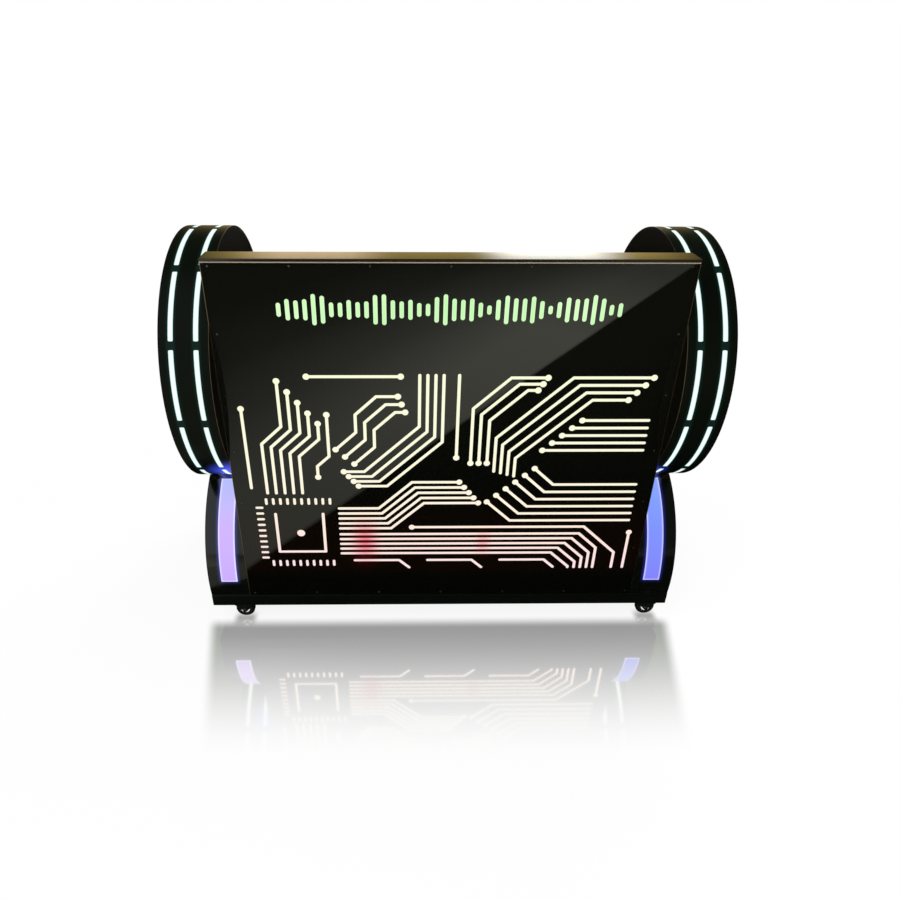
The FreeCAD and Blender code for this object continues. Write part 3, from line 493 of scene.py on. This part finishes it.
def drum_bead(low, high, x):
    """A thin round bead along the edge of a drum's inner face."""
    shape = bmesh.new()
    middle = (low + high) / 2
    radius = (high.z - low.z) / 2 - drum_bead_radius
    section = Matrix.Translation((x, middle.y, middle.z + radius)) @ Matrix.Rotation(math.pi / 2, 4, "X")
    start = bmesh.ops.create_circle(shape, segments=drum_bead_sides, radius=drum_bead_radius,
                                    matrix=section)["verts"]
    edges = list({edge for vert in start for edge in vert.link_edges})
    bmesh.ops.spin(shape, geom=start + edges, cent=(x, middle.y, middle.z), axis=(1, 0, 0),
                   angle=2 * math.pi, steps=drum_bead_steps, use_merge=True)
    bmesh.ops.remove_doubles(shape, verts=shape.verts, dist=same_place)
    bmesh.ops.recalc_face_normals(shape, faces=shape.faces)
    return shape


plywood = plywood_finish()
drum_face_black = drum_face_finish()
board_black = lacquer_finish("board_lacquer", 0.32, 0.45, tint(22, 23, 23), tint(36, 37, 36))
bronze = metal_finish("bronze_plate", tint(120, 104, 78), tint(150, 132, 102), 0.25)
underside_glows = (("left", tint(66, 88, 252), 0.1), ("right", tint(28, 44, 190), 0.065))
for side, under_colour, under_reach in underside_glows:
    drum = side + "_drum_"
    low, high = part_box(drum + "rim")
    bead = drum_bead(low, high, min(low.x, high.x, key=abs))
    new_piece(drum + "bead", bead, bronze, nodes[drum + "rim"]["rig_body"], drum_bead_sharp)
    smooth_copy(drum + "rim", rim_finish(side, under_colour, under_reach))
    smooth_copy(drum + "diffuser", drum_light_finish(side))
    smooth_copy(drum + "inner_face", drum_face_black)
    smooth_copy(drum + "outer_face", board_black)
    dress(plywood, drum + "core")
    dress(light_bar_white, drum + "led_tapes")
eased("drum_bolts", pressed_edge, zinc)


# Cheeks, table, shelf, upright and apron: boards in black lacquer, the cheeks bolted to the
# drums, the others resting on cleats. The table top has a tougher, pebbled finish.
furniture_edge = 0.0012


def table_finish():
    top = Finish("table_laminate")
    pebble = top.noise(650.0, 2.0)
    wear = top.noise(5.0, 5.0)
    scuff = top.step(top.noise(22.0, 6.0, (1.0, 1.6, 1.0)), 0.62, 0.8)
    colour = top.mix(scuff * 0.12 + wear * 0.2, tint(34, 34, 35), tint(78, 76, 74))
    return top.surface({"Base Color": colour, "Roughness": 0.5 + wear * 0.15 + scuff * 0.1,
                        "Specular IOR Level": 0.35}, pebble, depth=0.00015)


for node in ("left_cheek", "right_cheek", "lower_shelf", "centre_upright", "table_apron"):
    eased(node, furniture_edge, board_black)
eased("work_table", furniture_edge, table_finish())
dress(plywood, "board_cleats")


# Light box: plywood battens hold the front panel off a black back board. Bars of white
# lights lie on the back board and shine through the lit lines of the panel.
dress(plywood, "light_box_battens")
eased("light_box_back", furniture_edge, board_black)
dress(light_bar_white, "light_box_led_bars")


# Front panel: a sheet of black gloss acrylic, screwed along its edges, with lit inlays of
# opal acrylic flush in it: circuit lines, cream above and rosy below, and green level bars.
# A thin bronze trim runs up each side.
trim_width = 0.0016
trim_proud = 0.0012
trim_end_gap = 0.002
meter_pitch = 0.0224
meter_half = 0.0055
# Each red spot: its X and Z, how far it reaches and how strong it is.
red_spots = ((-0.239, 0.335, 0.06, 0.9), (0.125, 0.33, 0.035, 0.5))
red_fade_levels = (0.58, 0.32, 0.24, 0.19)
panel_tone_levels = (0.3, 1.0)


def red_light(finish):
    """How much red light falls at each place of the panel, 0 to 1."""
    shares = []
    for x, z, reach, strength in red_spots:
        aside = finish.step(abs(finish.x - x), reach, 0.0)
        level = finish.step(abs(finish.z - z), reach * 2, 0.0)
        shares.append(aside * level * strength)
    return shares[0] + shares[1]


def panel_finish():
    sheet = Finish("panel_acrylic")
    cloud = sheet.noise(5.0, 4.0)
    smear = sheet.step(sheet.noise(9.0, 6.0, (1.0, 1.0, 0.4)), 0.5, 0.8)
    dust = sheet.step(sheet.noise(700.0, 1.0), 0.72, 0.8)
    colour = sheet.mix(sheet.step(sheet.z, *panel_tone_levels), tint(4, 5, 3), tint(11, 12, 8))
    low_glow = (sheet.step(sheet.z, red_fade_levels[0], red_fade_levels[1])
                * sheet.step(sheet.z, red_fade_levels[3], red_fade_levels[2]))
    lit = sheet.mix(low_glow, (0, 0, 0, 1), tint(8, 1, 0))
    lit = sheet.mix(red_light(sheet) * 0.5, lit, tint(96, 14, 26))
    return sheet.surface({"Base Color": sheet.mix(dust * 0.25, colour, tint(60, 60, 60)),
                          "Roughness": 0.008 + smear * 0.012 + dust * 0.08, "Specular IOR Level": 0.58,
                          "Emission Color": lit, "Emission Strength": 1.0}, cloud, depth=0.00001)


def line_finish():
    strip = Finish("line_light")
    low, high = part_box("line_lights")
    rise = strip.node("MapRange", {}, {"Value": strip.z, "From Min": low.z, "From Max": high.z})
    cloud = strip.noise(11.0, 3.0)
    lit = strip.node("ValToRGB", {"stops": [(0.0, tint(252, 226, 230)), (1.0, tint(248, 251, 216)),
                                            (0.15, tint(255, 228, 219)), (0.32, tint(254, 240, 220)),
                                            (0.55, tint(252, 248, 222))]},
                     {"Fac": rise + cloud * 0.2 - 0.1})
    lit = strip.mix(red_light(strip), lit, tint(240, 104, 122))
    frost = strip.noise(900.0, 2.0)
    return strip.surface({"Base Color": tint(40, 38, 36), "Roughness": 0.3 + frost * 0.1,
                          "Emission Color": lit, "Emission Strength": 1.0}, frost, depth=0.00003)


def meter_finish():
    strip = Finish("meter_light")
    cell = strip.node("Math", {"operation": "PINGPONG"}, {0: strip.x, 1: meter_pitch / 2})
    edge = strip.step(cell, meter_pitch / 2 - meter_half * 0.45, meter_pitch / 2 - meter_half)
    cloud = strip.noise(10.0, 3.0)
    body = strip.mix(strip.step(cloud, 0.35, 0.7), tint(192, 246, 172), tint(214, 255, 194))
    lit = strip.mix(edge * 0.8, body, tint(226, 255, 212))
    frost = strip.noise(900.0, 2.0)
    return strip.surface({"Base Color": tint(30, 42, 30), "Roughness": 0.3 + frost * 0.1,
                          "Emission Color": lit, "Emission Strength": 1.0}, frost, depth=0.00003)


dress(panel_finish(), "front_panel")
low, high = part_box("front_panel")
trims = bmesh.new()
for x in (low.x + trim_width / 2, high.x - trim_width / 2):
    add_block(trims, (x, low.y - trim_proud / 2, (low.z + high.z) / 2),
              (trim_width, trim_proud, high.z - low.z - 2 * trim_end_gap))
new_piece("panel_side_trims", trims, bronze, nodes["front_panel"]["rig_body"])
dress(line_finish(), "line_lights")
dress(meter_finish(), "meter_lights")
dress(metal_finish("screw_steel", tint(70, 70, 68), tint(112, 112, 108), 0.3), "panel_screws")


# Top ledge: a brown-black gloss sheet on top of the light box, its edges rounded, with a
# champagne metal lip under its front edge. Both are fixed from below.
def ledge_finish():
    sheet = Finish("ledge_gloss")
    cloud = sheet.noise(4.0, 4.0)
    streak = sheet.noise(60.0, 4.0, (1.0, 0.12, 1.0))
    colour = sheet.mix(cloud * 0.6 + streak * 0.4, tint(16, 12, 6), tint(30, 23, 12))
    return sheet.surface({"Base Color": colour, "Roughness": 0.08 + streak * 0.08 + cloud * 0.05},
                         streak, depth=0.00003)


smooth_copy("top_ledge", ledge_finish())
smooth_copy("ledge_lip", plated_finish("champagne_plate", tint(160, 148, 126), tint(172, 160, 138)))


# Power gear on the base board: a vented aluminium supply, a plastic controller with two push
# buttons, and a coated steel box with the mains inlet and its rocker switch.
case_edge = 0.0008


def plastic_finish(name, base, light, rough):
    plastic = Finish(name)
    cloud = plastic.noise(45.0, 4.0)
    grain = plastic.noise(1600.0, 2.0)
    colour = plastic.mix(cloud, base, light)
    return plastic.surface({"Base Color": colour, "Roughness": rough + cloud * 0.12,
                            "Specular IOR Level": 0.4}, grain, depth=0.00006)


dress(metal_finish("supply_aluminium", tint(168, 170, 173), tint(212, 213, 214), 0.3), "power_supply")
controller_grey = plastic_finish("controller_plastic", tint(34, 34, 36), tint(48, 48, 50), 0.42)
eased("light_controller", case_edge, controller_grey)
button_grey = plastic_finish("button_plastic", tint(108, 111, 114), tint(124, 127, 130), 0.35)
eased("mode_button", case_edge, button_grey)
eased("colour_button", case_edge, button_grey)
eased("power_box", case_edge, coated_finish("power_box_coat", tint(30, 30, 31), tint(70, 69, 68)))
dress(plastic_finish("inlet_plastic", tint(20, 20, 21), tint(30, 30, 31), 0.4), "power_inlet")
dress(plastic_finish("rocker_plastic", tint(26, 26, 27), tint(38, 38, 39), 0.3), "power_rocker")


# Studio: a pale floor that fades to white and mirrors the foot of the booth softly, a flag
# that shapes the sheen on the panel, plain soft light, and the camera at the photographed
# angle. None of it belongs to the booth.
floor_half_width = 12.0
floor_mirror_share = 0.66
mirror_front = -0.318
mirror_start = (-0.026, 0.03)
mirror_reach = 0.52
mirror_half_width = 0.735
mirror_side_fade = 0.045
mirror_taper = 0.2
wheel_shade_share = 0.85
wheel_shade_tone = (0.3, 0.3, 0.3, 1)
wheel_shade_sides = (0.048, 0.018)
wheel_shade_start = (-0.02, 0.02)
matt_reach = 2.5
matt_white_share = 0.88
flag_height = 0.004
flag_line_start = Vector((0.486, -2.134))
flag_line_aside = Vector((-0.7951, -0.6065))
flag_half_width = 8.0
flag_shift = 0.4
flag_span = 3.6
# How far past the flag's line, and how clear the flag is there, both ends first.
flag_clear_shares = ((0.0, 0.0), (3.2, 0.01), (0.012, 1.0), (0.4, 1.0), (1.0, 0.43), (1.6, 0.13),
                     (2.4, 0.02))
flag_side_slope = 0.307
flag_side_start = -0.521
flag_side_soft = 0.06
flag_side_fade = (-0.8, -1.1)
flag_side_share = 0.85
flag_along_low = -2.0
flag_along_span = 5.0
# How far along the line, and how bright the floor shows there, both ends first.
flag_along_shares = ((0.0, 0.42), (1.0, 0.42), (0.4, 0.88), (0.6, 1.0))
wall_dark = (0.05, 0.04, 0.02, 1)
# Each light on the mirrored wall: its middle, where it ends, where it is full, its colour.
wall_lights = ((0.05, 0.38, 0.27, (0.85, 0.62, 0.18, 1)), (-0.14, 0.12, 0.04, (2.0, 1.5, 0.85, 1)),
               (0.205, 0.115, 0.04, (3.9, 3.8, 3.4, 1)))
wall_top = (0.28, 0.4)
wall_side = (-0.15, 0.15)
ceiling_dim = (0.08, 0.1, 0.06, 1)
front_left_edge = (-0.02, -0.22)
front_dim = (0.06, 0.07, 0.06, 1)
front_bright = (0.8, 0.86, 0.9, 1)
room_light = (0.72, 0.72, 0.72, 1)


def studio_sheet(name, half_width, height, material):
    """A level square sheet of the studio, centred under the booth."""
    shape = bmesh.new()
    corners = [(-half_width, -half_width), (half_width, -half_width),
               (half_width, half_width), (-half_width, half_width)]
    shape.faces.new([shape.verts.new((x, y, height)) for x, y in corners])
    mesh = bpy.data.meshes.new(name)
    shape.to_mesh(mesh)
    shape.free()
    mesh.materials.append(material)
    sheet = bpy.data.objects.new(name, mesh)
    bpy.context.scene.collection.objects.link(sheet)
    return sheet


def seen_directly(finish):
    """1 for camera, mirror and see-through rays, which show the white of the studio."""
    rays = [finish.node("LightPath", output=kind)
            for kind in ("Is Camera Ray", "Is Glossy Ray", "Is Transmission Ray")]
    return finish.node("Math", {"operation": "ADD", "use_clamp": True}, {0: rays[0] + rays[1], 1: rays[2]})


def floor_finish():
    """White to the eye, grey right under the front wheels, and a fading mirror ahead of the booth."""
    floor = Finish("studio_floor")
    matt = floor.node("BsdfDiffuse", {}, {"Color": (0.86, 0.86, 0.86, 1)})
    white = floor.node("Emission", {}, {"Color": (1, 1, 1, 1), "Strength": 1.0})
    far = floor.node("VectorMath", {"operation": "LENGTH"}, {0: floor.place}, "Value")
    white_share = matt_white_share + (1 - matt_white_share) * floor.step(far, matt_reach / 2, matt_reach)
    plain = floor.node("MixShader", {}, {0: seen_directly(floor) * white_share, 1: matt, 2: white})
    mirror = floor.node("BsdfGlossy", {}, {"Color": (0.97, 0.97, 0.97, 1), "Roughness": 0.06})
    camera_ray = floor.node("LightPath", output="Is Camera Ray")
    ahead = mirror_front - floor.y
    beside = floor.step(abs(floor.x) + ahead * mirror_taper, mirror_half_width + mirror_side_fade,
                        mirror_half_width)
    start = floor.step(ahead, *mirror_start)
    along = floor.step(ahead, mirror_reach, 0.0) * start
    grey = floor.node("Emission", {}, {"Color": wheel_shade_tone, "Strength": 1.0})
    for corner in ("front_left", "front_right"):
        low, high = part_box(corner + "_caster_wheel")
        under = (floor.step(abs(floor.x - (low.x + high.x) / 2), *wheel_shade_sides)
                 * floor.step((low.y + high.y) / 2 - floor.y, *wheel_shade_start))
        shade = under * (1 - start) * camera_ray * wheel_shade_share
        plain = floor.node("MixShader", {}, {0: shade, 1: plain, 2: grey})
    share = along * beside * camera_ray * floor_mirror_share
    shader = floor.node("MixShader", {}, {0: share, 1: plain, 2: mirror})
    floor.node("OutputMaterial", {}, {"Surface": shader})
    return floor.owner


def flag_finish():
    """Black, but clear in a wedge that lets the panel mirror the floor, and clear from below."""
    flag = Finish("studio_flag")
    aside = flag.x * flag_line_aside.x + flag.y * flag_line_aside.y - flag_line_start.dot(flag_line_aside)
    stops = [((place + flag_shift) / flag_span, (share, share, share, 1))
             for place, share in flag_clear_shares]
    clear = flag.node("ValToRGB", {"stops": stops}, {"Fac": (aside + flag_shift) * (1 / flag_span)})
    way = Vector((-flag_line_aside.y, flag_line_aside.x))
    along = flag.x * way.x + flag.y * way.y - flag_line_start.dot(way)
    stops = [(place, (share, share, share, 1)) for place, share in flag_along_shares]
    bright = flag.node("ValToRGB", {"stops": stops},
                       {"Fac": (along - flag_along_low) * (1 / flag_along_span)})
    behind = flag.node("NewGeometry", output="Backfacing")
    beside = flag.step(flag.x - flag.y * flag_side_slope, flag_side_start, flag_side_start - flag_side_soft)
    beside = beside * flag.step(flag.y, *flag_side_fade) * flag_side_share
    open_share = flag.node("Math", {"operation": "MAXIMUM"}, {0: clear * bright, 1: beside})
    open_share = flag.node("Math", {"operation": "MAXIMUM"}, {0: open_share, 1: behind})
    black = flag.node("BsdfDiffuse", {}, {"Color": (0, 0, 0, 1)})
    clear_sheet = flag.node("BsdfTransparent", {}, {"Color": (0.98, 1.0, 0.84, 1)})
    shader = flag.node("MixShader", {}, {0: open_share, 1: black, 2: clear_sheet})
    flag.node("OutputMaterial", {}, {"Surface": shader})
    return flag.owner


def studio_world():
    """Even light from all round; mirror rays see a warm wall with a lamp and a window behind the booth,
    and in front a dim room that is lighter at the left."""
    room = Finish("studio_world", bpy.data.worlds)
    way = room.node("TexCoord", output="Generated")
    way_x, way_y, way_z = [room.node("SeparateXYZ", {}, {0: way}, axis) for axis in "XYZ"]
    mirrored_wall = wall_dark
    for middle, outer, inner, colour in wall_lights:
        mirrored_wall = room.mix(room.step(abs(way_x - middle), outer, inner), mirrored_wall, colour)
    ceiling = room.mix(room.step(way_z, *wall_top), mirrored_wall, ceiling_dim)
    front = room.mix(room.step(way_x, *front_left_edge), front_dim, front_bright)
    mirrored = room.mix(room.step(way_y, *wall_side), front, ceiling)
    glossy = room.node("LightPath", output="Is Glossy Ray")
    direct = room.least(room.node("LightPath", output="Is Camera Ray")
                        + room.node("LightPath", output="Is Transmission Ray"), 1.0)
    light = room.mix(direct, room_light, (1, 1, 1, 1))
    shader = room.node("Background", {}, {"Color": room.mix(glossy, light, mirrored), "Strength": 1.0})
    room.node("OutputWorld", {}, {"Surface": shader})
    return room.owner


def soft_lamp(name, place, aim, width, power):
    lamp = bpy.data.lights.new(name, "AREA")
    lamp.shape = "DISK"
    lamp.size = width
    lamp.energy = power
    lamp_object = bpy.data.objects.new(name, lamp)
    lamp_object.location = place
    lamp_object.rotation_euler = (Vector(aim) - Vector(place)).to_track_quat("-Z", "Y").to_euler()
    lamp_object.visible_camera = False
    lamp_object.visible_glossy = False
    bpy.context.scene.collection.objects.link(lamp_object)


studio_sheet("floor", floor_half_width, 0.0, floor_finish())
flag = studio_sheet("floor_flag", flag_half_width, flag_height, flag_finish())
flag.visible_camera = False
flag.visible_diffuse = False
flag.visible_shadow = False
flag.visible_transmission = False
bpy.context.scene.world = studio_world()
soft_lamp("key_lamp", place=(-1.6, -2.2, 3.4), aim=(0, 0, 0.6), width=2.4, power=60)
soft_lamp("rear_lamp", place=(1.4, 2.4, 2.6), aim=(0, 0, 0.7), width=2.0, power=70)
soft_lamp("front_lamp", place=(0.4, -3.2, 1.3), aim=(0, 0, 0.9), width=1.6, power=26)

camera_place = Vector((-0.1149, -1.9833, 1.6247))
camera_yaw = 0.0172
camera_pitch = 0.5233
camera_roll = 0.0067
ahead = Vector((math.sin(camera_yaw) * math.cos(camera_pitch), math.cos(camera_yaw) * math.cos(camera_pitch),
                -math.sin(camera_pitch)))
level = Vector((math.cos(camera_yaw), -math.sin(camera_yaw), 0))
above = level.cross(ahead)
right = level * math.cos(camera_roll) + above * math.sin(camera_roll)
up = above * math.cos(camera_roll) - level * math.sin(camera_roll)
lens = bpy.data.cameras.new("photo_camera")
lens.lens = 26.95
lens.sensor_width = 36.0
lens.shift_x = 0.0386
lens.shift_y = -0.0003
camera = bpy.data.objects.new("photo_camera", lens)
camera.matrix_world = Matrix.Translation(camera_place) @ Matrix((right, up, -ahead)).transposed().to_4x4()
bpy.context.scene.collection.objects.link(camera)
bpy.context.scene.camera = camera
bpy.context.scene.view_settings.view_transform = "Standard"
